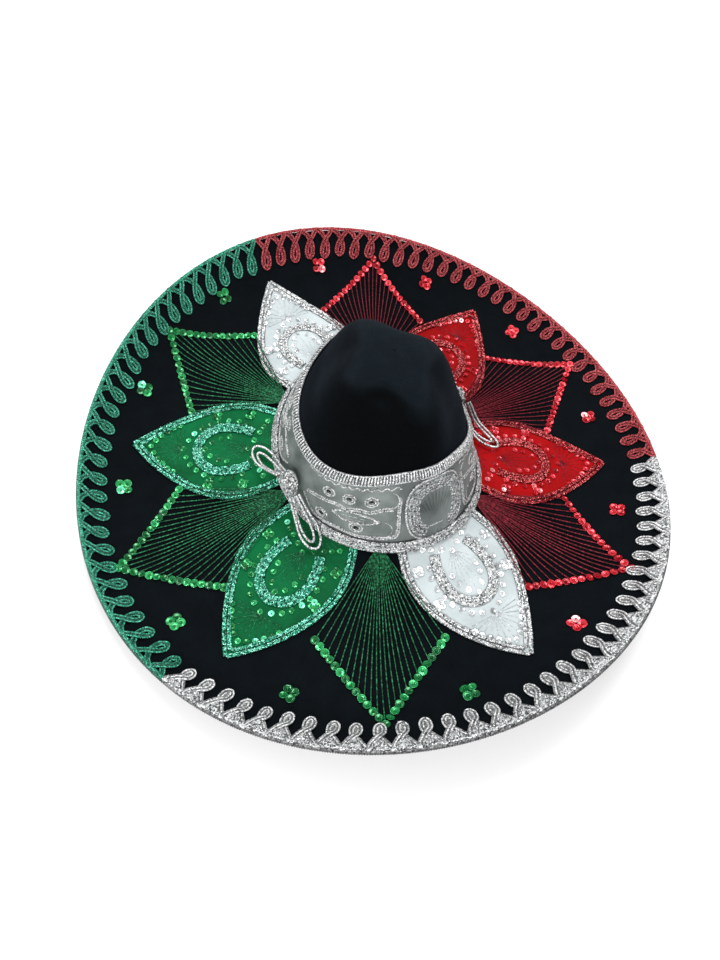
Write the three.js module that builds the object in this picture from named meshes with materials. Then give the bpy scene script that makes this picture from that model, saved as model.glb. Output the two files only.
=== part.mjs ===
// Embroidered charro sombrero: felt crown and saddle-shaped brim, six appliqued petals, six
// string-art fans, sequin flowers, looped rim trim and a braided hat band tied with cord bows.
// Millimetres. +Z up, the front of the hat faces -Y, the red side is +X, the green side is -X.
import * as THREE from 'three';
import { mergeVertices } from 'three/addons/utils/BufferGeometryUtils.js';

// ---- brim ----
const RIM_X = 294;            // half width of the finished hat, side to side
const RIM_Y = 286;            // half length of the finished hat, front to back
const RIM_SHIFT = -4;         // brim centre lies this far in front of the crown centre
const FELT = 3.2;             // felt thickness
const BASE_SADDLE = 10;       // crown base rises this much at front and back, falls at the sides
const RIM_LIFT = 60.5;        // upward curl of the rim
const RIM_SADDLE = 28.4;      // extra curl at front and back, less at the sides
const BRIM_FALL = 0.17;       // downward slope of the brim away from the crown
const FLAT = 0.33;            // fraction of the rim radius where the curl starts
const REST_FLAT = 1.4;        // depth of felt flattened by resting on the table

// ---- crown: height, half width, half length, depth of the four diagonal dents ----
const CROWN = [
  [-3, 91.5, 108, 0],
  [25, 86.5, 100, 0],
  [50, 81, 92, 0],
  [80, 74, 84.5, 0.03],
  [100, 66.5, 79.5, 0.12],
  [115, 61, 74, 0.17],
  [130, 53.5, 65, 0.21],
  [141, 45.5, 54, 0.24],
  [149, 34, 41, 0.16],
  [155, 20, 25.5, 0.06],
];
const CROWN_TOP = 158.5;

// ---- hat band ----
const BAND_FOOT = 5.2;        // band thickness at its foot
const BAND_HEAD = 2.4;        // band thickness at its top
const BAND_TOP = 77;          // mean height of the top edge
const BAND_TOP_SADDLE = 16;   // top edge rises at front and back
const BAND_RIGHT_DROP = 9;    // the top edge is tied lower on the right side

// ---- rim trim ----
const BINDING = 3.4;          // width of the binding outside the felt edge
const LOOP_REACH = 19.5;      // loops reach this far in from the felt edge
const LOOP_PITCH = 360 / 93;
const RIM_TRIM = [
  { name: 'red', start: 91, loops: 31 },
  { name: 'silver', start: -29, loops: 33 },
  { name: 'green', start: -156.7, loops: 29 },
];

// ---- ornaments: bearing in degrees and colour ----
const PETALS = [
  [-87, 'white'], [-28, 'red'], [31, 'red'], [91, 'white'], [150, 'green'], [208.5, 'green'],
];
const FANS = [
  [-57.5, 'red'], [2, 'red'], [61.5, 'red'], [120.5, 'green'], [179.5, 'green'], [241.5, 'green'],
];
const FLOWERS = [
  [-75, 'red'], [-42, 'red'], [-13.5, 'red'], [19, 'red'], [46.5, 'red'], [76.5, 'red'],
  [104, 'green'], [136, 'green'], [161, 'green'], [195.5, 'green'], [223.5, 'green'], [258, 'green'],
];
// half width of a petal along its axis
const LEAF = [
  [117, 50], [126, 53], [142, 55], [158, 54], [173, 50], [188, 44],
  [202, 36.5], [215, 28.5], [226, 20.5], [237, 11.5], [246, 3],
];
const BORDER = 9;             // width of the raised braid round a petal
const FAN_APEX = 121;
const FAN_SHOULDER = 190;
const FAN_HALF = 57;
const FAN_MARGIN = 26;        // distance from the tip of a fan to the rim
const FLOWER_RADIUS = 251;
const GAP = 0.45;             // clearance between parts that touch

// ---- cord bows: each ear has its end, direction along Y, reach, outward lean and steepness of fall
const BOWS = [
  { label: 'left', side: -1, knotY: -8, ears: [['rear', 1, 68, 0, 1.6], ['fore', -1, 60, -0.08, 1.6]] },
  { label: 'right', side: 1, knotY: 10, ears: [['rear', 1, 60, 0.05, 1.6], ['fore', -1, 60, 0.19, 3.2]] },
];
// the two loops of an ear: how much shorter, half width, half spacing at the knot
const BOW_LOOPS = [['outer', 0, 9, 4.6], ['inner', 8, 4.8, 1.7]];

const COLOURS = {
  black: [0x0b0e14, 0.95, 0],
  green: [0x0f7a3f, 0.7, 0.1],
  red: [0xb3101e, 0.7, 0.1],
  white: [0xdfe6ea, 0.7, 0.1],
  teal_braid: [0x1fae8c, 0.35, 0.6],
  red_braid: [0xb02a40, 0.35, 0.6],
  silver_braid: [0xc9cccf, 0.3, 0.8],
  silver_cloth: [0xa9adb0, 0.5, 0.4],
  leather: [0x3a2a20, 0.7, 0],
};
const BRAID_OF = {
  green: 'teal_braid', red: 'red_braid', white: 'silver_braid', silver: 'silver_braid',
};

const rad = (degrees) => (degrees * Math.PI) / 180;
const root = new THREE.Group();

function add(name, geometry, colour) {
  const [hex, roughness, metalness] = COLOURS[colour];
  const clean = geometry.clone();
  clean.deleteAttribute('normal');
  clean.deleteAttribute('uv');
  const solid = mergeVertices(clean, 1e-3);
  solid.computeVertexNormals();
  const mesh = new THREE.Mesh(
    solid, new THREE.MeshStandardMaterial({ color: hex, roughness, metalness }));
  mesh.name = name;
  root.add(mesh);
  return mesh;
}

// moves every vertex of a geometry to place(x, y, z)
function warp(geometry, place) {
  const p = geometry.attributes.position;
  for (let i = 0; i < p.count; i += 1) {
    const v = place(p.getX(i), p.getY(i), p.getZ(i));
    p.setXYZ(i, v.x, v.y, v.z);
  }
  return geometry;
}

function table(rows, x, column) {
  let i = 0;
  while (i < rows.length - 2 && x > rows[i + 1][0]) i += 1;
  const f = (x - rows[i][0]) / (rows[i + 1][0] - rows[i][0]);
  return rows[i][column] + Math.max(0, Math.min(1, f)) * (rows[i + 1][column] - rows[i][column]);
}

// a ring revolved about +Z from a closed profile of [radius, height] pairs
function ring(profile, segments) {
  const points = [...profile, profile[0]].map(([x, y]) => new THREE.Vector2(x, y));
  return new THREE.LatheGeometry(points, segments).rotateX(Math.PI / 2);
}

// a section polygon carried along t = 0..1, ready to be warped
function strip(section, steps) {
  const shape = new THREE.Shape(section.map(([x, y]) => new THREE.Vector2(x, y)));
  return new THREE.ExtrudeGeometry(shape, { depth: 1, steps, bevelEnabled: false });
}

// ---- surfaces ----
const saddleAt = (angle) => -Math.cos(2 * angle);

function rimRadius(angle) {
  const c = Math.cos(angle) / RIM_X;
  const s = Math.sin(angle) / RIM_Y;
  const o = RIM_SHIFT / RIM_Y;
  return (s * o + Math.sqrt(s * s * o * o - (c * c + s * s) * (o * o - 1))) / (c * c + s * s);
}

function feltHeight(x, y) {
  const r = Math.hypot(x, y);
  const angle = Math.atan2(y, x);
  const rim = rimRadius(angle);
  const t = Math.max(0, (r / rim - FLAT) / (1 - FLAT)) ** 4;
  const base = BASE_SADDLE * saddleAt(angle) * (1 - t);
  const curl = (RIM_LIFT + RIM_SADDLE * saddleAt(angle)) * t;
  return base + curl - BRIM_FALL * (r - FLAT * 290);
}

// point of the crown surface at parametric angle phi and height z, moved outwards by offset
function crownPoint(phi, z, offset) {
  const dent = table(CROWN, z, 3) * Math.sin(2 * phi) ** 2;
  const x = (table(CROWN, z, 1) + offset) * Math.cos(phi) * (1 - dent);
  const y = (table(CROWN, z, 2) + offset) * Math.sin(phi) * (1 - dent);
  return new THREE.Vector3(x, y, z);
}

const baseLift = (phi) => BASE_SADDLE * saddleAt(phi);

// ---- felt ----
function makeCrown() {
  const outer = CROWN.map((row) => [row[1], row[0]]);
  const inner = CROWN.slice(0, -1).map((row) => [row[1] - FELT, row[0]]);
  inner.push([15, CROWN_TOP - FELT - 4], [0, CROWN_TOP - FELT - 0.6]);
  const profile = [...inner.reverse(), ...outer, [0, CROWN_TOP]];
  const points = profile.map(([x, y]) => new THREE.Vector2(x, y));
  const geometry = new THREE.LatheGeometry(points, 48).rotateX(Math.PI / 2);
  warp(geometry, (x, y, z) => {
    const r = Math.hypot(x, y);
    const phi = Math.atan2(y, x);
    const half = table(CROWN, z, 1);
    const p = crownPoint(phi, z, 0).multiplyScalar(r < 1e-6 ? 0 : r / half);
    const lift = baseLift(phi) * Math.max(0, 1 - Math.max(0, z) / 110);
    return new THREE.Vector3(p.x, p.y, z + lift);
  });
  return add('crown', geometry, 'black');
}

function ringPoint(u, phi) {
  const x = (91.9 + u * (RIM_X - BINDING - 91.9)) * Math.cos(phi);
  const y = (108.4 + u * (RIM_Y - BINDING - 108.4)) * Math.sin(phi) + RIM_SHIFT * u;
  return [x, y];
}

function restHeight() {
  let low = 0;
  for (let r = 150; r < 260; r += 1) low = Math.min(low, feltHeight(r, 0));
  return low - FELT + REST_FLAT;
}
const REST = restHeight();

function makeBrim() {
  const stops = [0, 0.18, 0.36, 0.52, 0.66, 0.78, 0.87, 0.94, 1];
  const bottom = stops.map((u) => [100 + 100 * u, -FELT]);
  const top = stops.map((u) => [100 + 100 * u, 0]).reverse();
  const geometry = ring([...bottom, ...top], 64);
  warp(geometry, (x, y, z) => {
    const u = Math.hypot(x, y) / 100 - 1;
    const [px, py] = ringPoint(u, Math.atan2(y, x));
    return new THREE.Vector3(px, py, Math.max(REST, feltHeight(px, py) + z));
  });
  return add('brim', geometry, 'black');
}

makeCrown();
const brim = makeBrim();
const caster = new THREE.Raycaster();
const DOWN = new THREE.Vector3(0, 0, -1);
brim.material.side = THREE.DoubleSide;

// height of the faceted brim top at x, y
function onFelt(x, y) {
  caster.set(new THREE.Vector3(x, y, 500), DOWN);
  const hits = caster.intersectObject(brim);
  return hits.length ? hits[0].point.z : feltHeight(x, y);
}

const draped = (x, y, above) => new THREE.Vector3(x, y, onFelt(x, y) + GAP + above);

// point at distance along a bearing and across it
function polar(bearing, along, across) {
  const c = Math.cos(rad(bearing));
  const s = Math.sin(rad(bearing));
  return [along * c - across * s, along * s + across * c];
}

// ---- rim ----
function makeBinding({ name, start, loops }) {
  const section = [[0.4, -2.6], [1.6, -4], [BINDING, -2.4], [BINDING, 0.2], [1.6, 1.6], [0.4, 0.4]];
  const span = loops * LOOP_PITCH;
  const steps = Math.round(span / 5);
  const geometry = strip(section, steps);
  warp(geometry, (x, y, t) => {
    const bearing = rad(start - 0.1 - t * (span - 0.2));
    const edge = rimRadius(bearing);
    const r = edge - BINDING + x;
    return new THREE.Vector3(
      r * Math.cos(bearing), r * Math.sin(bearing),
      feltHeight((edge - BINDING) * Math.cos(bearing), (edge - BINDING) * Math.sin(bearing)) + y);
  });
  add(`rim_binding_${name}`, geometry, BRAID_OF[name]);
}

// one comb of slanted loops, four stations to a loop
function makeLoops({ name, start, loops }) {
  const stations = [[0.1, 0.2], [0.32, 1], [0.68, 1], [0.9, 0.2]];
  const geometry = strip([[0, 0], [1, 0], [1, 1], [0, 1]], loops * 4 - 1);
  warp(geometry, (x, y, t) => {
    const index = Math.round(t * (loops * 4 - 1));
    const [share, reach] = stations[index % 4];
    const along = start - (Math.floor(index / 4) + share) * LOOP_PITCH;
    const lean = x < 0.5 ? 0.7 * reach : 0;
    const bearing = rad(along + lean);
    const inward = x < 0.5 ? LOOP_REACH * reach : 0.8;
    const r = rimRadius(bearing) - BINDING - inward;
    return draped(r * Math.cos(bearing), r * Math.sin(bearing), y * 1.8);
  });
  add(`rim_loops_${name}`, geometry, BRAID_OF[name]);
}

// ---- petals ----
function makePetal([bearing, colour]) {
  const section = [
    [-1, 0], [-0.5, 0], [0, 0], [0.5, 0], [1, 0], [1, 2.4], [0.83, 2.4], [0.79, 1.1],
    [0, 1.1], [-0.79, 1.1], [-0.83, 2.4], [-1, 2.4],
  ];
  const steps = LEAF.length - 1;
  const geometry = strip(section, steps);
  warp(geometry, (x, y, t) => {
    const [along, half] = LEAF[Math.round(t * steps)];
    const [px, py] = polar(bearing, along, x * half);
    return draped(px, py, y);
  });
  add(`petal_${colour}_${Math.round(bearing)}`.replace('-', 'm'), geometry, colour);
}

// the raised horseshoe braid on a petal, open towards the crown
function makeHorseshoe([bearing, colour]) {
  const line = new THREE.CatmullRomCurve3([
    new THREE.Vector3(127, -17, 0), new THREE.Vector3(143, -22.5, 0),
    new THREE.Vector3(161, -23.5, 0), new THREE.Vector3(176, -15, 0),
    new THREE.Vector3(182, 0, 0), new THREE.Vector3(176, 15, 0),
    new THREE.Vector3(161, 23.5, 0), new THREE.Vector3(143, 22.5, 0),
    new THREE.Vector3(127, 17, 0),
  ]);
  const section = [[-5, 0], [0, 0], [5, 0], [4.2, 2.6], [0, 3.8], [-4.2, 2.6]];
  const geometry = strip(section, 16);
  warp(geometry, (x, y, t) => {
    const p = line.getPoint(t);
    const d = line.getTangent(t);
    const [px, py] = polar(bearing, p.x - d.y * x, p.y + d.x * x);
    return draped(px, py, 1.1 + 0.5 + y);
  });
  add(`horseshoe_${colour}_${Math.round(bearing)}`.replace('-', 'm'), geometry, BRAID_OF[colour]);
}

// ---- fans ----
function insidePetal(x, y) {
  return PETALS.some(([bearing]) => {
    const [along, across] = polar(-bearing, x, y);
    if (along < LEAF[0][0] - 8 || along > 246) return false;
    return Math.abs(across) < table(LEAF, along, 1) + 0.7;
  });
}

function fanHalf(bearing, along, side) {
  const tip = rimRadius(rad(bearing)) - FAN_MARGIN;
  const widening = Math.min(1, (along - FAN_APEX) / (FAN_SHOULDER - FAN_APEX));
  const closing = Math.min(1, (tip - along) / (tip - FAN_SHOULDER));
  const edge = 3 + (FAN_HALF - 3) * Math.min(widening, closing);
  let across = 0.8;
  while (across < edge && !insidePetal(...polar(bearing, along, side * (across + 0.4)))) {
    across += 0.4;
  }
  return Math.min(edge, across);
}

function makeFan([bearing, colour]) {
  const section = [
    [-1, 0], [-0.5, 0], [0, 0], [0.5, 0], [1, 0],
    [1, 1.2], [0.5, 1.2], [0, 1.2], [-0.5, 1.2], [-1, 1.2],
  ];
  const reach = rimRadius(rad(bearing)) - FAN_MARGIN - FAN_SHOULDER;
  const stops = [121, 134, 148, 162, 176, 190];
  for (let i = 1; i < 6; i += 1) stops.push(FAN_SHOULDER + (reach * i) / 5);
  const geometry = strip(section, stops.length - 1);
  warp(geometry, (x, y, t) => {
    const along = stops[Math.round(t * (stops.length - 1))];
    const half = fanHalf(bearing, along, Math.sign(x));
    const [px, py] = polar(bearing, along, x * half);
    return draped(px, py, y);
  });
  add(`fan_${colour}_${Math.round(bearing)}`.replace('-', 'm'), geometry, colour);
}

// ---- sequin flowers ----
function makeFlower([bearing, colour]) {
  const outline = [];
  for (let i = 0; i < 16; i += 1) {
    const r = i % 4 === 2 ? 4.6 : (i % 2 ? 8 : 9.4);
    outline.push(new THREE.Vector2(r * Math.cos(rad(22.5 * i)), r * Math.sin(rad(22.5 * i))));
  }
  const shape = new THREE.Shape(outline);
  const geometry = new THREE.ExtrudeGeometry(shape, { depth: 1.6, bevelEnabled: false });
  const [cx, cy] = polar(bearing, FLOWER_RADIUS, 0);
  warp(geometry, (x, y, z) => draped(cx + x, cy + y, z));
  add(`flower_${colour}_${Math.round(bearing)}`.replace('-', 'm'), geometry, colour);
}

// ---- hat band ----
// point on the band: t = 0 at its foot, 1 at its top, out = distance out from the crown felt
function bandPoint(phi, t, out) {
  const foot = baseLift(phi) + 2;
  const drop = BAND_RIGHT_DROP * Math.max(0, Math.cos(phi)) ** 2;
  const head = BAND_TOP + BAND_TOP_SADDLE * saddleAt(phi) - drop;
  const height = foot + t * (head - foot);
  const lift = baseLift(phi);
  const level = (height - lift) / (1 - lift / 110);
  const p = crownPoint(phi, level, out);
  return new THREE.Vector3(p.x, p.y, height);
}

const bandThickness = (t) => BAND_FOOT + (BAND_HEAD - BAND_FOOT) * t;

function makeBand() {
  const levels = [0, 0.33, 0.6, 0.75, 0.87, 1];
  const outer = levels.map((t) => [110, 10 * t]);
  const inner = levels.map((t) => [100, 10 * t]).reverse();
  const geometry = ring([...outer, ...inner], 48);
  warp(geometry, (x, y, z) => {
    const thick = Math.hypot(x, y) > 105 ? bandThickness(z / 10) : 2 * GAP;
    return bandPoint(Math.atan2(y, x), z / 10, thick);
  });
  add('hat_band', geometry, 'silver_cloth');
}

function makeBandEdge(name, section, level) {
  const geometry = ring(section.map(([x, y]) => [100 + x, y]), 48);
  warp(geometry, (x, y, z) => {
    const phi = Math.atan2(y, x);
    const p = bandPoint(phi, level, Math.hypot(x, y) - 100);
    return new THREE.Vector3(p.x, p.y, p.z + z);
  });
  add(name, geometry, 'silver_braid');
}

// a horseshoe plaque on the front or back of the band
function makeMedallion(name, centre) {
  const rows = [[0.09, 21], [0.17, 27], [0.35, 30], [0.6, 30.5], [0.8, 27], [0.9, 20]];
  const section = [
    [-1, 0], [-0.67, 0], [-0.33, 0], [0, 0], [0.33, 0], [0.67, 0], [1, 0],
    [1, 2.6], [0.67, 2.6], [0.6, 1.2], [0, 1.2], [-0.6, 1.2], [-0.67, 2.6], [-1, 2.6],
  ];
  const geometry = strip(section, rows.length - 1);
  warp(geometry, (x, y, t) => {
    const [level, half] = rows[Math.round(t * (rows.length - 1))];
    const phi = rad(centre) - (x * half) / 86;
    return bandPoint(phi, level, bandThickness(level) + 1.7 + y);
  });
  add(name, geometry, 'silver_braid');
}

// ---- cord bows ----
function makeKnot(name, side, knotY) {
  const geometry = new THREE.SphereGeometry(1, 12, 8);
  warp(geometry, (x, y, z) => new THREE.Vector3(
    side * 101.6 + x * 6.5, knotY + y * 11, 27 + z * 12));
  add(name, geometry, 'silver_braid');
}

// one loop of cord leaving the knot along +Y or -Y and coming back
function makeBowLoop(name, side, knotY, [, toward, ear, lean, fall], [, short, half, spread]) {
  const reach = ear - short;
  const start = new THREE.Vector3(side * 103, knotY + toward * 13.5, 25);
  const tip = new THREE.Vector3(side * (103 + reach * lean), knotY + toward * reach, 0);
  const line = [
    [0, spread], [0.3, half * 0.75], [0.62, half], [0.88, half * 0.72], [1, 0],
    [0.88, -half * 0.72], [0.62, -half], [0.3, -half * 0.75], [0, -spread],
  ];
  const points = line.map(([t, across]) => {
    const x = start.x + (tip.x - start.x) * t + side * (across + 4 * t);
    const y = start.y + (tip.y - start.y) * t;
    const floor = feltHeight(x, y) + 8;
    return new THREE.Vector3(x, y, floor + (start.z - floor) * (1 - t) ** fall);
  });
  const section = [];
  for (let i = 0; i < 8; i += 1) {
    section.push(new THREE.Vector2(1.25 * Math.cos(rad(45 * i)), 1.25 * Math.sin(rad(45 * i))));
  }
  const geometry = new THREE.ExtrudeGeometry(new THREE.Shape(section), {
    extrudePath: new THREE.CatmullRomCurve3(points), steps: 16, bevelEnabled: false,
  });
  add(name, geometry, 'silver_braid');
}

// ---- sweatband ----
function makeSweatband() {
  const geometry = ring([[100, 0], [110, 0], [110, 7.5], [110, 10], [100, 10]], 48);
  warp(geometry, (x, y, z) => {
    const phi = Math.atan2(y, x);
    const level = z / 0.3;
    const out = Math.hypot(x, y) > 105 ? -FELT - 0.7 : -FELT - 2.4;
    const p = crownPoint(phi, level, out);
    return new THREE.Vector3(p.x, p.y, level + baseLift(phi) * (1 - level / 110));
  });
  add('sweatband', geometry, 'leather');
}

RIM_TRIM.forEach(makeBinding);
RIM_TRIM.forEach(makeLoops);
PETALS.forEach(makePetal);
PETALS.forEach(makeHorseshoe);
FANS.forEach(makeFan);
FLOWERS.forEach(makeFlower);
makeBand();
makeBandEdge('band_top_braid', [[4.3, -3], [7, -2.6], [6.4, 3.2], [0.6, 3.6], [0.6, 0.7], [4.3, 0.7]], 1);
makeBandEdge('band_foot_braid', [[5.8, 1], [11, 0.8], [11, 2.6], [8.4, 6], [5.8, 6]], 0);
makeMedallion('medallion_front', -90);
makeMedallion('medallion_back', 90);
for (const { label, side, knotY, ears } of BOWS) {
  makeKnot(`bow_knot_${label}`, side, knotY);
  for (const ear of ears) {
    for (const loop of BOW_LOOPS) {
      makeBowLoop(`bow_cord_${label}_${ear[0]}_${loop[0]}`, side, knotY, ear, loop);
    }
  }
}
makeSweatband();

// stand the hat on the table plane with the middle of the brim on the Z axis
root.children.forEach((mesh) => mesh.geometry.translate(0, -RIM_SHIFT, -REST));

export default root;
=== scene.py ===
"""Embroidered charro sombrero: felt, appliqued petals, string-art fans, sequins, braids, cord bows.

Shapes are worked out in millimetres about the foot of the crown (+Z up, front of the hat -Y,
red side +X) and moved into the row frame, in metres, as each mesh is made.
"""
import math

import bpy
import numpy as np
from mathutils import Matrix, Vector


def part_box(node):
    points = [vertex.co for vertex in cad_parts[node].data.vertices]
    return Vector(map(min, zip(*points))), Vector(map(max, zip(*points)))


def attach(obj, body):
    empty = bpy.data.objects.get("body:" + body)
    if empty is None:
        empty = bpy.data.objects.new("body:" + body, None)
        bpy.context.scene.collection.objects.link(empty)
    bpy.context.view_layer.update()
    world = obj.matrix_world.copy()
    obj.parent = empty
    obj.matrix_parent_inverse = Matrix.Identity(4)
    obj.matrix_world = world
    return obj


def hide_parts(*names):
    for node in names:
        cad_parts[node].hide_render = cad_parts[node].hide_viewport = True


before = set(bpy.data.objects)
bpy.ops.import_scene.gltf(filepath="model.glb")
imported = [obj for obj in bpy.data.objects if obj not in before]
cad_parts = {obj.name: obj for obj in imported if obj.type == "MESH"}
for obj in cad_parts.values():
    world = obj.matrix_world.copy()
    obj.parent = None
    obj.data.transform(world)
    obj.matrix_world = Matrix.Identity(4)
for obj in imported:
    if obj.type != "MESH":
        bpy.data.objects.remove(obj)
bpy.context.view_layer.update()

MM = 0.001
CROWN_FOOT = 13.0             # the crown's lowest point lies this far under its own origin
SHIFT = np.array([0.0, 4.0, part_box("crown")[0][2] / MM + CROWN_FOOT])
rng = np.random.default_rng(20)

# ---- sizes shared with the CAD model, millimetres ----
RIM_X, RIM_Y, RIM_SHIFT = 294.0, 286.0, -4.0
FELT = 3.2
BASE_SADDLE, RIM_LIFT, RIM_SADDLE, BRIM_FALL, FLAT = 10.0, 60.5, 28.4, 0.17, 0.33
# The rows from 100 up and CROWN_TOP are rounded results of a least-squares fit of the silhouette.
CROWN = np.array([  # height, half width, half length, depth of the diagonal dents
    [-3, 91.5, 108, 0], [25, 86.5, 100, 0], [50, 81, 92, 0], [80, 74, 84.5, 0.03],
    [100, 66.5, 79.5, 0.12], [115, 61, 74, 0.17], [130, 53.5, 65, 0.21],
    [141, 45.5, 54, 0.24], [149, 34, 41, 0.16], [155, 20, 25.5, 0.06],
])
CROWN_TOP = 158.5
BAND_FOOT, BAND_HEAD, BAND_TOP, BAND_TOP_SADDLE, BAND_RIGHT_DROP = 5.2, 2.4, 77.0, 16.0, 9.0
SADDLE_FADE = 110             # height at which the saddle of the crown's foot has faded out
HOLE_X, HOLE_Y = 91.9, 108.4  # half width and half length of the brim's inner edge
WRAP_X, WRAP_Y = 97, 113      # half width and half length round the foot of the band
BAND_X, BAND_Y = 92, 107      # half width and half length of the band halfway up
BINDING = 3.4
LOOP_PITCH = 360 / 93
RIM_TRIM = [("red", 91.0, 31), ("silver", -29.0, 33), ("green", -156.7, 29)]
PETALS = [(-87, "white"), (-28, "red"), (31, "red"), (91, "white"), (150, "green"), (208.5, "green")]
FANS = [(-57.5, "red"), (2, "red"), (61.5, "red"), (120.5, "green"), (179.5, "green"), (241.5, "green")]
FLOWERS = [(bearing, "red") for bearing in (-75, -42, -13.5, 19, 46.5, 76.5)]
FLOWERS += [(bearing, "green") for bearing in (104, 136, 161, 195.5, 223.5, 258)]
FLOWER_RADIUS = 251.0
LEAF = np.array([  # distance from the crown centre, half width of a petal
    [88, 38], [104, 45], [117, 50], [126, 53], [142, 55], [158, 54], [173, 50], [188, 44],
    [202, 36.5], [215, 28.5], [226, 20.5], [237, 11.5], [246, 3], [248.5, 0.2],
])
LEAF_END = 246                # where the felt of a petal ends, along its axis
FAN_SHOULDER, FAN_HALF, FAN_MARGIN = 190.0, 57.0, 26.0
KNOT_X, KNOT_Z = 101.6, 27.0
BOWS = [  # label, side, knot Y, then each ear's end, direction along Y, reach, outward lean and fall
    ("left", -1, -8.0, [("rear", 1, 68, 0.0, 1.6), ("fore", -1, 60, -0.08, 1.6)]),
    ("right", 1, 10.0, [("rear", 1, 60, 0.05, 1.6), ("fore", -1, 60, 0.19, 3.2)]),
]
BOW_LOOPS = [("outer", 0, 9.0, 4.6), ("inner", 8, 4.8, 1.7)]  # shorter by, half width, half spacing
CORD = 2.5                    # diameter of the bow cord
CAMERA_TURN, CAMERA_RISE, CAMERA_ROLL = -37.227, 56.976, 9.237  # degrees
CAMERA_DISTANCE = 710.74      # from a point on the axis of the hat
CAMERA_AIM_Y = 12.07          # how far behind the crown's centre that point lies

BRAID_OF = {"green": "teal_braid", "red": "red_braid", "white": "silver_braid", "silver": "silver_braid"}


def node_name(kind, colour, bearing):
    return f"{kind}_{colour}_{math.floor(bearing + 0.5)}".replace("-", "m")


# ---- surfaces ----
def stack(*parts):
    """Arrays side by side in a new last axis."""
    return np.stack(parts, -1)


def unit(v):
    return v / np.maximum(np.linalg.norm(v, axis=-1, keepdims=True), 1e-9)


def full_turn(count):
    """Angles evenly spaced round a circle."""
    return np.arange(count) * math.tau / count


def saddle(angle):
    return -np.cos(2 * angle)


def rim_radius(angle):
    c, s, o = np.cos(angle) / RIM_X, np.sin(angle) / RIM_Y, RIM_SHIFT / RIM_Y
    return (s * o + np.sqrt(s * s * o * o - (c * c + s * s) * (o * o - 1))) / (c * c + s * s)


def felt_height(x, y):
    r, angle = np.hypot(x, y), np.arctan2(y, x)
    t = np.maximum(0, (r / rim_radius(angle) - FLAT) / (1 - FLAT)) ** 4
    curl = (RIM_LIFT + RIM_SADDLE * saddle(angle)) * t
    return BASE_SADDLE * saddle(angle) * (1 - t) + curl - BRIM_FALL * (r - FLAT * 290)


def felt_normal(points):
    """The felt's normal under points."""
    x, y, d = points[..., 0], points[..., 1], 0.5
    dx = (felt_height(x + d, y) - felt_height(x - d, y)) / (2 * d)
    dy = (felt_height(x, y + d) - felt_height(x, y - d)) / (2 * d)
    return unit(stack(-dx, -dy, np.ones_like(dx)))


def on_felt(flat, above):
    """Points above the brim for plan points (n, 2)."""
    x, y = flat[..., 0], flat[..., 1]
    foot = stack(x, y, felt_height(x, y))
    return foot + felt_normal(flat) * np.expand_dims(np.broadcast_to(above, x.shape), -1)


def polar(bearing, along, across):
    """Plan points at distances along and across a bearing in degrees."""
    c, s = math.cos(math.radians(bearing)), math.sin(math.radians(bearing))
    along, across = np.asarray(along, float), np.asarray(across, float)
    return stack(along * c - across * s, along * s + across * c)


def smooth(points, per):
    """A Catmull-Rom curve through the points."""
    p = np.asarray(points, float)
    q = np.concatenate([2 * p[:1] - p[1:2], p, 2 * p[-1:] - p[-2:-1]])
    t = (np.arange(per) / per)[:, None]
    out = []
    for i in range(len(q) - 3):
        a, b, c, d = q[i:i + 4]
        out.append(0.5 * (2 * b + (c - a) * t + (2 * a - 5 * b + 4 * c - d) * t * t
                          + (3 * b - a - 3 * c + d) * t ** 3))
    return np.concatenate(out + [p[-1:]])


def arc_length(line):
    return np.concatenate([[0], np.cumsum(np.linalg.norm(np.diff(line, axis=0), axis=1))])


def even(line, step):
    """The same line with points a step apart."""
    s = arc_length(line)
    n = max(2, int(round(s[-1] / step)) + 1)
    at = np.linspace(0, s[-1], n)
    return np.stack([np.interp(at, s, line[:, k]) for k in range(line.shape[1])], -1)


CROWN_PROFILE = smooth(np.vstack([
    CROWN, [CROWN_TOP, 0, 0, 0.04], [155, -20, -25.5, 0.06]]), 12)[:-12]


def crown_point(phi, z, out):
    """The wall of the crown at angle phi and height z, moved outwards."""
    rows = CROWN_PROFILE[CROWN_PROFILE[:, 0] < CROWN[-1, 0]]
    hx, hy, depth = (np.interp(z, rows[:, 0], rows[:, k]) for k in (1, 2, 3))
    dent = depth * np.sin(2 * phi) ** 2
    return stack((hx + out) * np.cos(phi) * (1 - dent),
                 (hy + out) * np.sin(phi) * (1 - dent), z + 0 * phi)


def band_point(phi, t, out):
    """The hat band: t = 0 at its foot and 1 at its top, out = distance from the felt."""
    lift = BASE_SADDLE * saddle(phi)
    drop = BAND_RIGHT_DROP * np.maximum(0, np.cos(phi)) ** 2
    foot, head = lift + 2, BAND_TOP + BAND_TOP_SADDLE * saddle(phi) - drop
    height = foot + t * (head - foot)
    p = crown_point(phi, (height - lift) / (1 - lift / SADDLE_FADE), out)
    return stack(p[..., 0], p[..., 1], height)


def band_surface(t):
    """How far the cloth of the band stands off the felt."""
    return BAND_FOOT + (BAND_HEAD - BAND_FOOT) * t


# ---- mesh making ----
def add_object(name, data):
    thing = bpy.data.objects.new(name, data)
    bpy.context.scene.collection.objects.link(thing)
    return thing


class Bag:
    """Faces gathered into one mesh, in millimetres about the crown's foot."""

    def __init__(self):
        self.points, self.faces, self.tones, self.count = [], [], [], 0

    def add(self, points, faces, tone=0.5):
        points = np.asarray(points, float).reshape(-1, 3)
        self.points.append(points)
        self.tones.append(np.broadcast_to(tone, len(points)))
        self.faces += [np.asarray(f) + self.count for f in faces]
        self.count += len(points)


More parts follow.
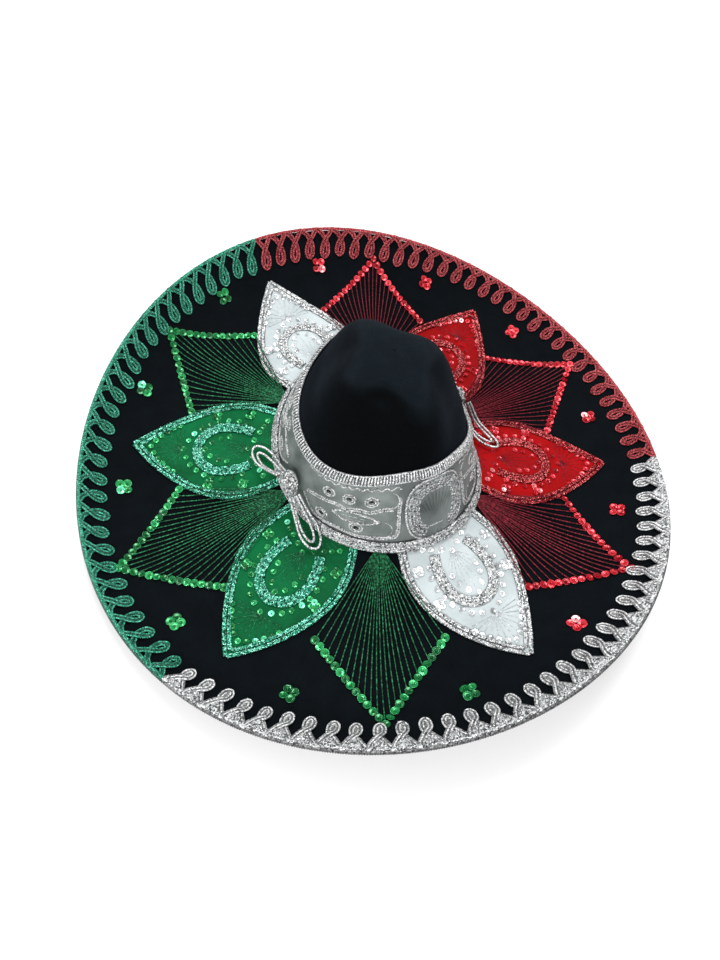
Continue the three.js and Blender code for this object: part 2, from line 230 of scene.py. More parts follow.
def grid_faces(rows, columns, wrap=False):
    """Quads of a grid of points, rows x columns, whose last column may join the first."""
    i, j = np.meshgrid(np.arange(rows - 1), np.arange(columns - (not wrap)), indexing="ij")
    k = (j + 1) % columns
    return stack(i * columns + j, i * columns + k, (i + 1) * columns + k,
                 (i + 1) * columns + j).reshape(-1, 4)


def wall(a, b):
    """Quads that join two closed rings of corners."""
    return stack(a, np.roll(a, -1), np.roll(b, -1), b)


def sweep(bag, line, normal, wide, high=None, sides=6, lobes=0, pitch=3.0, depth=0.0, closed=False,
          tone=0.5):
    """A tube along a line, with painted shade down its sides. Lobes turning once per pitch make a twisted
    strand.
    """
    high = wide if high is None else high
    tangent = unit(np.roll(line, -1, 0) - np.roll(line, 1, 0)) if closed else unit(np.gradient(line, axis=0))
    normal = np.broadcast_to(normal, line.shape)
    side = unit(np.cross(tangent, normal))
    up = np.cross(side, tangent)
    theta = full_turn(sides)
    s = arc_length(line)[:, None]
    swell = 1 + depth * np.cos(lobes * theta[None] - math.tau * lobes * s / pitch) if lobes else 1
    a = (np.cos(theta)[None] * swell * np.reshape(wide, (-1, 1)))[..., None]
    b = (np.sin(theta)[None] * swell * np.reshape(high, (-1, 1)))[..., None]
    points = line[:, None] + side[:, None] * a + up[:, None] * b
    n = len(line)
    faces = [grid_faces(n, sides, True)]
    if closed:
        last, first = (n - 1) * sides + np.arange(sides), np.arange(sides)
        faces.append(wall(last, first))
    else:
        faces.append(np.arange(sides)[None, ::-1])
        faces.append((n - 1) * sides + np.arange(sides)[None])
    # painted shade: the tone falls to 18% down each tube's flanks and underside, standing in for the shade
    # between strands and in crevices
    shade = tone * (0.18 + 0.82 * np.clip(np.sin(theta), 0, 1))
    bag.add(points, faces, np.tile(shade, n))


def offset_line(line, normal, across, above):
    """A line moved sideways and up from another one."""
    tangent = unit(np.gradient(line, axis=0))
    side = unit(np.cross(tangent, np.broadcast_to(normal, line.shape)))
    return line + side * np.reshape(across, (-1, 1)) + normal * np.reshape(above, (-1, 1))


def plait(bag, line, normal, half, strand, pitch, crinkle, tone=0.5):
    """Three strands plaited along a line."""
    s = arc_length(line)
    for j in range(3):
        a = math.tau * (s / pitch + j / 3)
        path = offset_line(line, normal, half * np.sin(a), strand * (1 + 0.55 * np.sin(2 * a)))
        path = path + rng.normal(0, crinkle, path.shape)
        sweep(bag, path, normal, strand * rng.uniform(0.85, 1.15, len(path)), tone=tone)


def slab(bag, top, thickness, wrap=False):
    """A closed sheet under a grid of points, rows x columns."""
    rows, columns = top.shape[:2]
    dr, dc = np.gradient(top, axis=0), np.gradient(top, axis=1)
    if wrap:
        dc = np.roll(top, -1, 1) - np.roll(top, 1, 1)
    under = top - unit(np.cross(dr, dc)) * thickness
    n = rows * columns
    up = grid_faces(rows, columns, wrap)
    faces = [up, up[:, ::-1] + n]

    def rim(ids):
        a, b = ids[:-1], ids[1:]
        return stack(a, a + n, b + n, b)

    first = np.arange(columns)
    last = (rows - 1) * columns + first
    if wrap:
        first, last = np.append(first, first[0]), np.append(last, last[0])
    faces += [rim(first), rim(last[::-1])]
    if not wrap:
        faces += [rim((np.arange(rows) * columns)[::-1]), rim(np.arange(rows) * columns + columns - 1)]
    bag.add(np.concatenate([top.reshape(-1, 3), under.reshape(-1, 3)]), faces)


def build(name, bag, material, slot, nodes=()):
    """The bag's faces as a piece of the hat, standing for CAD nodes."""
    points = (np.concatenate(bag.points) + SHIFT) * MM
    mesh = bpy.data.meshes.new(name)
    corners = np.concatenate([f.reshape(-1) for f in bag.faces]).astype(np.int32)
    sizes = np.concatenate([np.full(len(f), f.shape[1]) for f in bag.faces])
    starts = np.concatenate([[0], np.cumsum(sizes)[:-1]]).astype(np.int32)
    mesh.vertices.add(len(points))
    mesh.vertices.foreach_set("co", points.reshape(-1))
    mesh.loops.add(len(corners))
    mesh.loops.foreach_set("vertex_index", corners)
    mesh.polygons.add(len(sizes))
    mesh.polygons.foreach_set("loop_start", starts)
    mesh.polygons.foreach_set("use_smooth", np.full(len(sizes), True))
    mesh.update(calc_edges=True)
    tone = mesh.attributes.new("tone", "FLOAT", "POINT")
    tone.data.foreach_set("value", np.concatenate(bag.tones).astype(np.float32))
    mesh.materials.append(material)
    piece = add_object(name, mesh)
    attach(piece, "root")
    if nodes:
        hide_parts(*nodes)
    return piece


def build_silver(name, bag, metals, nodes=()):
    return build(name, bag, metals["silver_braid"], "silver_braid", nodes)


# ---- materials ----
def linear(colour):
    """An sRGB colour, 0 to 255, as linear RGBA."""
    c = np.array(colour) / 255
    rgb = np.where(c <= 0.04045, c / 12.92, ((c + 0.055) / 1.055) ** 2.4)
    return (*[float(v) for v in rgb], 1.0)


class Nodes:
    """A material's node tree, with short calls for the nodes that are used here."""

    def __init__(self, name, **values):
        self.material = bpy.data.materials.new(name)
        self.material.use_nodes = True
        self.tree = self.material.node_tree
        self.shader = self.tree.nodes["Principled BSDF"]
        self.set(self.shader, **values)
        self.coordinate = self.tree.nodes.new("ShaderNodeTexCoord").outputs["Object"]

    def set(self, node, **values):
        for key, value in values.items():
            node.inputs[key.replace("_", " ")].default_value = value

    def link(self, a, b):
        self.tree.links.new(a, b)

    def texture(self, kind, **values):
        node = self.tree.nodes.new("ShaderNodeTex" + kind)
        self.set(node, **values)
        self.link(self.coordinate, node.inputs["Vector"])
        return node

    def noise(self, scale, detail=3.0, distortion=0.0):
        return self.texture("Noise", Scale=scale, Detail=detail, Distortion=distortion).outputs["Fac"]

    def cells(self, scale, output="Color"):
        return self.texture("Voronoi", Scale=scale).outputs[output]

    def weave(self, scale, direction):
        node = self.texture("Wave", Scale=scale, Distortion=0.6, Detail=1.0)
        node.bands_direction = direction
        return node.outputs["Fac"]

    def split(self, colour):
        """The red channel, a plain random number for a cell's colour."""
        node = self.tree.nodes.new("ShaderNodeSeparateColor")
        self.link(colour, node.inputs[0])
        return node.outputs[0]

    def tone(self):
        node = self.tree.nodes.new("ShaderNodeAttribute")
        node.attribute_name = "tone"
        return node.outputs["Fac"]

    def ramp(self, value, *stops):
        node = self.tree.nodes.new("ShaderNodeValToRGB")
        elements = node.color_ramp.elements
        while len(elements) < len(stops):
            elements.new(0.5)
        for element, (position, colour) in zip(elements, stops):
            element.position = position
            element.color = colour
        self.link(value, node.inputs["Fac"])
        return node.outputs["Color"]

    def math(self, operation, a, b):
        node = self.tree.nodes.new("ShaderNodeMath")
        node.operation = operation
        for socket, value in zip(node.inputs, (a, b)):
            if isinstance(value, (int, float)):
                socket.default_value = value
            else:
                self.link(value, socket)
        return node.outputs[0]

    def mix(self, blend, amount, a, b):
        node = self.tree.nodes.new("ShaderNodeMix")
        node.data_type = "RGBA"
        node.blend_type = blend
        node.inputs[0].default_value = amount
        self.link(a, node.inputs[6])
        self.link(b, node.inputs[7])
        return node.outputs[2]

    def finish(self, colour, height=None, depth=0.0002, strength=1.0, roughness=None):
        self.link(colour, self.shader.inputs["Base Color"])
        if roughness is not None:
            self.link(roughness, self.shader.inputs["Roughness"])
        if height is not None:
            bump = self.tree.nodes.new("ShaderNodeBump")
            self.set(bump, Strength=strength, Distance=depth)
            self.link(height, bump.inputs["Height"])
            self.link(bump.outputs["Normal"], self.shader.inputs["Normal"])
        return self.material


def grey(v):
    return (v, v, v, 1.0)


def felt_material():
    m = Nodes("wool_felt", Roughness=0.95, Sheen_Weight=0.035, Sheen_Roughness=0.5,
              Sheen_Tint=linear((140, 170, 205)), Specular_IOR_Level=0.06)
    tone = m.ramp(m.noise(55, 5), (0.3, linear((14, 21, 26))), (0.75, linear((20, 29, 35))))
    # painted light and shade: the tone attribute lightens the crown's top and right side, keeps the brim at
    # a middle level and leaves the crown's front dark
    painted_lighting = m.ramp(m.tone(), (0.0, grey(0.08)), (0.5, grey(0.4)), (1.0, grey(1.0)))
    tone = m.mix("MULTIPLY", 1.0, tone, painted_lighting)
    fibre = m.ramp(m.noise(1500, 2, 1.5), (0.35, grey(0.5)), (0.75, grey(1.0)))
    lint = m.ramp(m.cells(110, "Distance"), (0.0, grey(0.06)), (0.03, grey(0.0)))
    colour = m.mix("ADD", 0.12, m.mix("MULTIPLY", 1.0, tone, fibre), lint)
    height = m.math("ADD", m.noise(1800, 3, 1.0), m.math("MULTIPLY", m.noise(300, 3), 1.5))
    return m.finish(colour, height, 0.0003, 0.7)


def metal_material(name, dark, middle, light, cell=0.0013, metallic=0.72, rough=0.3):
    """Metallic braid: facets of foil thread, each with its own slope and brightness; the brightness, from
    dark to near white, is painted glint sparkle.
    """
    m = Nodes(name, Metallic=metallic)
    facets = m.split(m.cells(1 / cell))
    # painted highlights: each facet's base colour is picked from dark to near white, standing in for glints
    # of light off the foil
    colour = m.ramp(facets, (0.08, linear(dark)), (0.5, linear(middle)), (0.9, linear(light)))
    # painted shade: the tone attribute, lowered down each strand's flanks and on the dim strands, darkens
    # the colour where shade falls between strands
    colour = m.mix("MULTIPLY", 1.0, colour, m.ramp(m.tone(), (0.0, grey(0.02)), (0.5, grey(1.0))))
    height = m.math("ADD", m.cells(0.7 / cell, "Distance"), m.math("MULTIPLY", m.noise(2.2 / cell, 2), 0.6))
    roughness = m.ramp(m.noise(0.5 / cell), (0.3, grey(rough - 0.12)), (0.7, grey(rough + 0.12)))
    return m.finish(colour, height, cell * 0.9, 1.0, roughness)


def cloth_material(name, dark, light, specular):
    """Satin cloth: fine weave, soft creases and slow changes of tone."""
    m = Nodes(name, Specular_IOR_Level=specular)
    tone = m.ramp(m.noise(28, 4, 0.4), (0.3, linear(dark)), (0.7, linear(light)))
    thread = m.mix("MULTIPLY", 0.25, m.weave(900, "X"), m.weave(900, "Y"))
    colour = m.mix("MULTIPLY", 0.18, tone, thread)
    crease = m.math("MULTIPLY", m.noise(90, 4, 1.2), 2.5)
    roughness = m.ramp(m.noise(60), (0.3, grey(0.55)), (0.7, grey(0.7)))
    return m.finish(colour, m.math("ADD", crease, thread), 0.0004, 0.5, roughness)


def thread_material(name, dark, light):
    m = Nodes(name, Metallic=0.25, Roughness=0.5, Specular_IOR_Level=0.3)
    # painted highlights: noise speckles from dark to light stand in for glints of light along the metallic
    # thread
    glint_speckle = m.ramp(m.noise(550, 3), (0.45, linear(dark)), (0.68, linear(light)))
    return m.finish(glint_speckle, m.noise(2500, 2), 0.0003, 0.8)


def sequin_material(name, dark, middle, bright, glint):
    """Moulded plastic sequins; each has its own tone, and the rare top tones are a painted glint of
    near-white highlight.
    """
    m = Nodes(name, Metallic=0.5, Coat_Weight=0.35, Coat_Roughness=0.1, Specular_IOR_Level=0.4)
    colour = m.ramp(m.tone(), (0.0, linear(dark)), (0.4, linear(middle)), (0.82, linear(bright)),
                    (0.97, linear(glint)))
    scratch = m.noise(700, 3)
    shade = m.mix("MULTIPLY", 0.5, colour, m.ramp(scratch, (0.3, grey(0.6)), (0.6, grey(1.0))))
    return m.finish(shade, scratch, 0.0003, 0.5, m.ramp(scratch, (0.3, grey(0.1)), (0.7, grey(0.26))))


def leather_material():
    m = Nodes("sweatband_leather", Coat_Weight=0.1)
    pores = m.cells(900, "Distance")
    tone = m.ramp(m.noise(40, 5), (0.3, linear((38, 26, 19))), (0.7, linear((74, 51, 36))))
    colour = m.mix("MULTIPLY", 0.5, tone, m.ramp(pores, (0.0, grey(0.5)), (0.4, grey(1.0))))
    return m.finish(colour, pores, 0.0003, 0.6, m.ramp(m.noise(200), (0.3, grey(0.45)), (0.7, grey(0.6))))


def floor_material():
    m = Nodes("pale_floor", Roughness=0.9, Specular_IOR_Level=0.1)
    return m.finish(m.ramp(m.noise(3), (0.3, grey(0.86)), (0.7, grey(0.88))))


FELT_BLACK = felt_material()
METAL = {
    "silver_braid": metal_material(
        "silver_braid", (80, 83, 85), (214, 218, 219), (255, 255, 255), metallic=0.5),
    "teal_braid": metal_material("teal_braid", (4, 60, 44), (44, 168, 130), (170, 255, 230)),
    "red_braid": metal_material("red_braid", (70, 2, 8), (175, 24, 36), (250, 130, 132)),
}
CORD_METAL = {
    "silver_braid": metal_material(
        "silver_cord", (112, 115, 117), (240, 242, 243), (255, 255, 255), 0.0011, 0.35),
    "teal_braid": metal_material(
        "teal_cord", (8, 76, 58), (22, 122, 92), (110, 226, 192), 0.0006, 0.5, 0.28),
    "red_braid": metal_material(
        "red_cord", (98, 8, 20), (156, 28, 42), (238, 122, 126), 0.0006, 0.5, 0.28),
}
CLOTH = {
    "green": cloth_material("green_satin", (0, 76, 40), (0, 102, 55), 0.12),
    "red": cloth_material("red_satin", (140, 0, 2), (170, 0, 5), 0.1),
    "white": cloth_material("white_satin", (176, 186, 188), (204, 213, 215), 0.2),
}
BAND_CLOTH = cloth_material("band_lame", (88, 95, 94), (150, 158, 155), 0.4)
THREAD = {
    "green": thread_material("green_thread", (0, 50, 26), (46, 140, 92)),
    "red": thread_material("red_thread", (70, 0, 12), (150, 34, 54)),
    "white": thread_material("white_thread", (150, 154, 156), (225, 228, 230)),
}
SEQUIN = {
    "green": sequin_material("green_sequins", (8, 84, 42), (12, 122, 60), (44, 164, 92), (130, 250, 205)),
    "red": sequin_material("red_sequins", (134, 2, 20), (186, 10, 30), (226, 62, 74), (255, 214, 214)),
    "white": sequin_material(
        "clear_sequins", (150, 154, 156), (205, 208, 210), (240, 242, 242), (255, 255, 255)),
    "smoke": sequin_material("smoke_sequins", (14, 17, 19), (34, 38, 40), (90, 94, 96), (225, 228, 230)),
}
SEQUIN_SLOT = {"green": "green_sequin", "red": "red_sequin", "white": "silver_braid"}
THREAD_SLOT = {"green": "green_thread", "red": "red_thread", "white": "white_cloth"}


# ---- camera ----
def make_camera():
    turn, rise, roll = (math.radians(v) for v in (CAMERA_TURN, CAMERA_RISE, CAMERA_ROLL))
    aim = Vector((np.array([0, CAMERA_AIM_Y, 0]) + SHIFT) * MM)
    pose = (Matrix.Translation(aim) @ Matrix.Rotation(turn, 4, "Z")
            @ Matrix.Rotation(math.pi / 2 - rise, 4, "X") @ Matrix.Rotation(roll, 4, "Z"))
    data = bpy.data.cameras.new("camera")
    data.sensor_width = 36
    data.lens = 25.907
    data.shift_x = -0.01091
    data.shift_y = -0.0396
    camera = add_object("camera", data)
    camera.matrix_world = pose @ Matrix.Translation((0, 0, CAMERA_DISTANCE * MM))
    bpy.context.scene.camera = camera


make_camera()


# ---- cord bows ----
def bow_route(side, knot_y, toward, reach, lean, fall, half, spread):
    """One loop of cord out of the knot and back, in millimetres."""
    start = np.array([side * 103, knot_y + toward * 13.5, 25.0])
    tip = np.array([side * (103 + reach * lean), knot_y + toward * reach, 0.0])
    outward = np.array([[0, spread], [0.3, half * 0.75], [0.62, half], [0.88, half * 0.72]])
    t, across = np.concatenate([outward, [[1, 0]], outward[::-1] * [1, -1]]).T
    x = start[0] + (tip[0] - start[0]) * t + side * (across + 4 * t)
    y = start[1] + (tip[1] - start[1]) * t
    floor = felt_height(x, y) + 8
    return stack(x, y, floor + (start[2] - floor) * (1 - t) ** fall)


def make_bow_cord(node, side, route):
    line = even(smooth(route, 12), 0.45)
    bag = Bag()
    sweep(bag, line, np.array([side * 0.4, 0.0, 1.0]), CORD / 2 * 0.94, sides=14, lobes=3, pitch=7.5,
          depth=0.13)
    piece = build_silver(node + "_rope", bag, CORD_METAL, [node])
    path = (even(line, 2.0) + SHIFT) * MM
    float(arc_length(line)[-1] * MM)


for label, side, knot_y, ears in BOWS:
    for end, toward, ear_reach, lean, fall in ears:
        for size, short, half, spread in BOW_LOOPS:
            route = bow_route(side, knot_y, toward, ear_reach - short, lean, fall, half, spread)
            make_bow_cord(f"bow_cord_{label}_{end}_{size}", side, route)


# ---- felt ----
def make_brim():
    turns, rows = 360, 90
    plain, rounded = 0.985, 0.015  # shares of the brim's width that are plain and rounded off
    phi = full_turn(turns)[None]
    steps = np.cos(np.linspace(0.3, 1, 6) * math.pi / 2)
    u = np.concatenate([np.linspace(0, plain, rows), 1 - rounded * steps])[:, None]
    x = (HOLE_X + u * (RIM_X - BINDING - HOLE_X)) * np.cos(phi)
    y = (HOLE_Y + u * (RIM_Y - BINDING - HOLE_Y)) * np.sin(phi) + RIM_SHIFT * u
    z = felt_height(x, y)
    rest = -SHIFT[2]
    ripple = 0.35 * np.sin(7 * phi + 1.0) * np.sin(11 * phi) * u ** 3
    round_off = np.clip((u - plain) / rounded, 0, 1)
    trim = FELT / 2 * (1 - np.sqrt(1 - round_off ** 2))
    top = stack(x, y, z + ripple - trim)
    under = stack(x, y, np.maximum(rest, z + ripple - FELT + trim))
    bag = Bag()
    n = top.shape[0] * turns
    up = grid_faces(top.shape[0], turns, True)
    ring = np.arange(turns)
    edge = (top.shape[0] - 1) * turns + ring
    bag.add(np.concatenate([top.reshape(-1, 3), under.reshape(-1, 3)]),
            [up[:, ::-1], up + n, wall(edge + n, edge)[:, ::-1], wall(ring, ring + n)[:, ::-1]])
    build("brim_felt", bag, FELT_BLACK, "felt", ["brim"])


def make_crown():
    turns = 256
    phi = full_turn(turns)[None]
    rows = CROWN_PROFILE
    z, hx, hy, depth = (rows[:, k][:, None] for k in range(4))

    def shell(inset, drop):
        dent = depth * np.sin(2 * phi) ** 2
        lift = BASE_SADDLE * saddle(phi) * np.maximum(0, 1 - np.maximum(0, z) / SADDLE_FADE)
        share = np.clip((hx - inset) / np.maximum(hx, 1), 0.001, 1)
        height = z + lift - drop * np.clip((z - 100) / 50, 0, 1)
        return stack(hx * share * np.cos(phi) * (1 - dent), hy * share * np.sin(phi) * (1 - dent),
                     height + 0 * phi)

    outer, inner = shell(0, 0), shell(FELT, FELT)
    n = outer.shape[0] * turns
    quads = grid_faces(outer.shape[0], turns, True)
    ring = np.arange(turns)
    top = (outer.shape[0] - 1) * turns + ring
    around = np.roll(outer, -1, 1) - np.roll(outer, 1, 1)
    normal = unit(np.cross(around, np.gradient(outer, axis=0)))
    # painted light and shade: faces turned up, and faces turned towards +X, get a lighter felt tone, more so
    # higher up, as if lit from above and the right; the lower front stays dark
    lit_facing = np.clip((normal[..., 2] - 0.6) / 0.22, 0, 1) + 0.6 * np.clip(normal[..., 0] - 0.25, 0, 1)
    painted_lighting = np.clip(0.04 + 0.85 * lit_facing * np.clip((z - 60) / 60, 0.3, 1), 0, 1).reshape(-1)
    foot = stack(ring, ring + n, np.roll(ring + n, -1), np.roll(ring, -1))
    bag = Bag()
    bag.add(np.concatenate([outer.reshape(-1, 3), inner.reshape(-1, 3)]),
            [quads, quads[:, ::-1] + n, foot, top[None], top[None, ::-1] + n], np.append(painted_lighting, 0 * painted_lighting + 0.5))
    build("crown_felt", bag, FELT_BLACK, "felt", ["crown"])


make_brim()
make_crown()


# ---- rim ----
def rim_path(bearings, inward, above):
    """Points at a distance in from the felt edge, for bearings in degrees."""
    a = np.radians(bearings)
    r = rim_radius(a) - BINDING - inward
    return on_felt(stack(r * np.cos(a), r * np.sin(a)), above)


def loop_line(half, tip, over):
    """Depth in from the felt edge, sideways and rise along a loop, which crosses over its own start."""
    half = np.array(half)
    rise = [0.9, 1.3, 1.6, 1.8, 1.6, 1.5, 1.5, 1.5, 1.5, 1.7, over, 3.6, 3.0, 1.7, 0.9]
    return np.column_stack([np.concatenate([half, [[tip, 0]], half[::-1] * [1, -1]]), rise])


WIDE_LOOP = loop_line([
    [-0.3, -8.6], [3.0, -6.6], [6.2, -3.4], [9.0, -0.4], [12.0, 1.9], [15.4, 2.7], [18.4, 2.2],
], 20.2, 2.6)
TEAR_LOOP = loop_line([
    [-0.3, -7.6], [2.2, -5.0], [4.4, -2.3], [6.8, 0.3], [10.4, 2.6], [14.6, 3.6], [18.2, 3.0],
], 20.4, 2.8)
LOOP_LINE = {"green": TEAR_LOOP, "red": TEAR_LOOP, "silver": WIDE_LOOP}
HEEL_LINE = np.array([[0.6, -4.6, 0.9], [3.2, -2.6, 1.4], [5.2, 0, 1.7], [3.2, 2.6, 1.4], [0.6, 4.6, 0.9]])
# painted shade: the dim strands stand in for the dark lines where shade falls between the bright strands
STRANDS = {  # how far across the cord and how bright each strand is
    "green": [(-1.7, 0.75), (0.0, 0.16), (1.7, 0.75)],
    "red": [(-1.7, 0.75), (0.0, 0.2), (1.7, 0.75)],
    "silver": [(-2.1, 0.75), (-0.7, 0.12), (0.7, 0.65), (2.1, 0.2)],
}
LOOP_STRAND = 0.86            # radius of a strand


def make_rim(name, start, loops):
    span = loops * LOOP_PITCH
    steps = int(span * 12)
    bearings = np.linspace(start - 0.05, start - span + 0.05, steps)
    line = rim_path(bearings, -0.3, -1.3)
    bag = Bag()
    sweep(bag, line, felt_normal(line), 1.5, 2.1, 14, 3, 6.0, 0.14, tone=0.35)
    line = rim_path(bearings, -0.5, 0.5)
    plait(bag, line, felt_normal(line), 1.1, 0.75, 4.4, 0.12, tone=0.6)
    braid = BRAID_OF[name]
    edge_metal = METAL if name == "silver" else CORD_METAL
    build(f"rim_edge_{name}", bag, edge_metal[braid], braid, [f"rim_binding_{name}"])

    def placed(curve, centre, lean, stretch):
        depth = curve[:, 0] * stretch
        side = curve[:, 1] - lean * depth / 20
        turn = np.degrees(side / (float(rim_radius(np.radians(centre))) - depth))
        return stack(centre - turn, depth, curve[:, 2])

    def strands(bag, route):
        centre_line = even(rim_path(*route.T), 0.8)
        normal = felt_normal(centre_line)
        for across, tone in STRANDS[name]:
            strand = offset_line(centre_line, normal, across, 0.25 * (across == 0))
            sweep(bag, strand, normal, LOOP_STRAND, LOOP_STRAND, 8, 2, 3.0, 0.14, tone=tone)

    route, trim, heels = [], Bag(), Bag()
    for i in range(loops):
        centre = start - (i + 0.5) * LOOP_PITCH
        lean = 3 + 3 * math.cos(math.radians(centre - 130)) + rng.normal(0, 0.25)
        stretch = 1 + 0.04 * rng.normal()
        route.append(placed(LOOP_LINE[name], centre, lean, stretch)[(1 if i else 0):])
        if name == "silver":
            for size in (1.0, 0.45):
                heel = placed(smooth(HEEL_LINE, 6) * [size, size, 1], centre, lean, 1)
                heel = even(rim_path(*heel.T), 0.6)
                plait(heels, heel, felt_normal(heel), 1.7, 0.9, 3.6, 0.3)
    strands(trim, smooth(np.concatenate(route), 7))
    build(f"rim_loop_cord_{name}", trim, CORD_METAL[braid], braid, [f"rim_loops_{name}"])
    if heels.count:
        build(f"rim_heel_braid_{name}", heels, METAL[braid], braid)


for name, start, loops in RIM_TRIM:
    make_rim(name, start, loops)


# ---- sequins ----
def add_sequin(bag, centre, normal, radius, tilt=0.14, brightest=1.0):
    """A cupped disc with a stitched bead over its hole."""
    cup = 0.22
    normal = unit(normal + rng.normal(0, tilt, 3))
    a = unit(np.cross(normal, [0.3, 1.0, 0.2]))
    b = np.cross(normal, a)
    turns = 14
    theta = full_turn(turns) + rng.uniform(0, 1)
    spread = np.cos(theta)[:, None] * a + np.sin(theta)[:, None] * b
    rings = [(0.16, 0.10), (0.55, 0.03), (0.86, cup * 0.75), (1.0, cup),
             (0.98, cup - 0.07), (0.5, -0.06), (0.16, 0.0)]
    points = np.concatenate([centre + radius * (r * spread + h * normal) for r, h in rings])
    quads = grid_faces(len(rings), turns, True)
    first, last = np.arange(turns), (len(rings) - 1) * turns + np.arange(turns)
    tone = rng.beta(1.3, 1.5) * brightest
    bag.add(points, [quads, wall(last, first)], tone)
    bead = radius * 0.24
    lat = np.array([-0.9, -0.2, 0.6, 1.35])
    bead_rings = [centre + normal * (radius * 0.12 + bead * math.sin(v)) + bead * math.cos(v) * spread[::2]
                  for v in lat]
    k = turns // 2
    bag.add(np.concatenate(bead_rings),
            [grid_faces(4, k, True), np.arange(k)[None, ::-1], 3 * k + np.arange(k)[None]], tone * 0.6)


def sequins_at(bag, bearing, places, radius, above, brightest=1.0):
    flat = polar(bearing, [p[0] for p in places], [p[1] for p in places])
    for point, normal in zip(on_felt(flat, above), felt_normal(flat)):
        add_sequin(bag, point, normal, radius * rng.uniform(0.92, 1.06), brightest=brightest)


# ---- petals ----
LEAF_CURVE = smooth(LEAF, 8)
RAY_CENTRE, BASE_RAY_CENTRE = 199, 129  # where the stitched rays of a petal meet, along its axis


def band_foot_radius(angle):
    """Distance of the hat band's foot from the crown centre."""
    return 1 / np.sqrt((np.cos(angle) / WRAP_X) ** 2 + (np.sin(angle) / WRAP_Y) ** 2)


def outside_band(bearing, places):
    """Whether local places (along, across) lie outside the hat band."""
    flat = polar(bearing, places[:, 0], places[:, 1])
    return np.hypot(flat[:, 0], flat[:, 1]) > band_foot_radius(np.arctan2(flat[:, 1], flat[:, 0])) - 2


def leaf_half(along):
    return np.interp(along, LEAF_CURVE[:, 0], LEAF_CURVE[:, 1])


def make_petal_cloth(bearing, colour):
    """The cloth of a petal, gently crowned, with shallow puckers by its seams."""
    rows, columns, seam = 100, 60, 4.5
    v = np.linspace(-1, 1, columns)[None]
    u = np.linspace(0, 1, rows)[:, None] ** 0.9
    base = 108.0
    for _ in range(3):
        across = v * (leaf_half(base) - seam)
        angle = np.radians(bearing) + np.arctan2(across, base)
        base = np.sqrt(band_foot_radius(angle) ** 2 - across ** 2) - 1
    along = base + u * (LEAF_END - 2 - base)
    half = np.maximum(leaf_half(along) - seam, 0.6)
    across = v * half
    flat = polar(bearing, along, across)
    rise = 1.1 * (1 - v ** 2) * np.minimum(1, half / 25)
    pucker = 0.16 * np.sin(across * 0.9 + 3 * np.sin(along * 0.11)) * np.abs(v) ** 3
    ray = 0.13 * np.sin(26 * np.arctan2(across, along - RAY_CENTRE)) * np.exp(-((along - 208) / 22) ** 2)
    top = on_felt(flat, 0.8 + rise + pucker + ray)
    bag = Bag()
    slab(bag, top[:, ::-1], 0.5)
    node = node_name("petal", colour, bearing)
    piece = build(node + "_cloth", bag, CLOTH[colour], colour + "_cloth", [node])
    area = float(np.sum(2 * leaf_half(np.arange(105.5, LEAF_END)) - 2 * seam)) * MM * MM


def make_petal_border(bearing, colour):
    """Two plaits of metallic braid side by side round a petal."""
    bag = Bag()
    braid = BRAID_OF[colour]
    for inset, above in ((2.5, 1.0), (6.9, 1.3)):
        for side in (-1, 1):
            line = LEAF_CURVE * [1, side]
            tangent = unit(np.gradient(line, axis=0))
            inward = stack(tangent[:, 1], -tangent[:, 0]) * side
            line = line + inward * inset
            line = line[(line[:, 1] * side > 0.4) & outside_band(bearing, line)]
            flat = even(polar(bearing, line[:, 0], line[:, 1]), 0.8)
            path = on_felt(flat, above)
            plait(bag, path, felt_normal(flat), 1.35, 0.95, 5.2, 0.10)
    build(node_name("border", colour, bearing), bag, METAL[braid], braid)


# ---- places on a petal: along its axis and across it ----
U_ARM = [(126, 17.5), (134, 21), (143, 23.2), (153, 24.3), (163, 23.2), (172, 18.8), (179, 11)]
U_LINE = [(along, -across) for along, across in U_ARM] + [(182, 0)] + U_ARM[::-1]
OUTER_ROW = [(133, 27.5), (142, 31.5), (153, 32.5), (163, 31.5),
             (171.5, 28.5), (180, 23.5), (187, 17.5), (192, 9.5)]
INNER_ROW = [(150, 13.5), (159, 12), (168, 7.5)]
BASE_ARC = [(112, 30), (116, 24), (119.5, 17.5), (124.5, 9)]
RAY_ENDS = [(203, 26), (209, 22.5), (214.5, 18), (220, 12.8), (225, 7)]
SPRAYS = [(131, 38.5), (166, 38.5)]


def mirrored(places):
    return [(a, side * b) for a, b in places for side in (-1, 1)]


def make_horseshoe(bearing, colour):
    """Crinkled metallic tape in a horseshoe, raised over a cord."""
    flat = even(smooth(polar(bearing, *np.array(U_LINE).T), 8), 0.7)
    normal = felt_normal(flat)
    line = on_felt(flat, 2.2)
    braid = BRAID_OF[colour]
    bag = Bag()
    sweep(bag, on_felt(flat, 2.6), normal, 4.3, 1.9, 12)
    for across, rise in ((-3.1, 0.2), (0, 1.1), (3.1, 0.2)):
        plait(bag, offset_line(line, normal, across, rise), normal, 1.5, 0.8, 4.1, 0.16)
    build(node_name("horseshoe_tape", colour, bearing), bag, METAL[braid], braid,
          [node_name("horseshoe", colour, bearing)])


def add_ray(bag, bearing, start, end):
    """One stitched thread, straight across a petal."""
    flat = even(polar(bearing, *np.array([start, end]).T), 2.0)
    sweep(bag, on_felt(flat, np.linspace(2.6, 2.2, len(flat))), felt_normal(flat), 0.32, sides=5)


